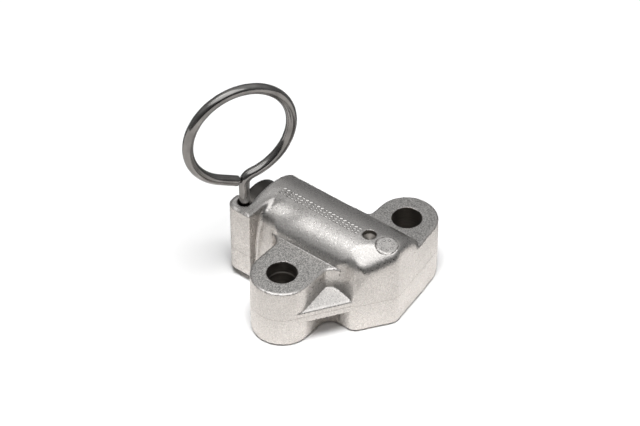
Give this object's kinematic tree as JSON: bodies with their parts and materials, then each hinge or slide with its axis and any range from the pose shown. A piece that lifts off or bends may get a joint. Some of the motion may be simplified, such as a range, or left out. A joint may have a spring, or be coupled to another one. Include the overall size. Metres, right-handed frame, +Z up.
{
  "type": "timing chain tensioner",
  "caption": "Hydraulic chain tensioner: cast aluminium housing on bolt lugs, sprung steel plunger, ball check valve and a ring-pull lock pin.",
  "frame": {"origin": "on the mounting face, under the bore axis, midway along X between the bolt holes", "axes": "+X along the bore from the plunger to the closed end, +Y to the rear lug, +Z up from the mounting face"},
  "size_m": [0.0445, 0.0452, 0.0535],
  "materials": {
    "cast_housing": "die-cast, fine grain, machined lug faces",
    "dark_steel": "ground, hardened, dark",
    "spring_steel": "drawn wire",
    "valve_steel": "turned and pressed",
    "ball_steel": "polished",
    "insert_plastic": "moulded",
    "pin_wire": "bright drawn wire with die lines"
  },
  "bodies": {
    "housing": {"housing": "cast_housing", "valve_seat": "valve_steel", "ball_cage": "valve_steel", "plunger_spring": "spring_steel", "ball_spring": "spring_steel"},
    "plunger": {"plunger": "dark_steel", "vent_disc": "valve_steel", "volume_insert": "insert_plastic"},
    "check_ball": {"check_ball": "ball_steel"},
    "lock_pin": {"lock_pin": "pin_wire"}
  },
  "joints": [
    {"name": "plunger_stroke", "type": "slide", "parent": "housing", "child": "plunger", "axis": [-1, 0, 0], "range_m": [0, 0.012], "deforming": ["plunger_spring"]},
    {"name": "ball_lift", "type": "slide", "parent": "housing", "child": "check_ball", "axis": [-1, 0, 0], "range_m": [0, 0.0006], "deforming": ["ball_spring"]},
    {"name": "pin_pull", "type": "slide", "parent": "housing", "child": "lock_pin", "axis": [0, 0, 1], "range_m": [0, 0.02]}
  ]
}
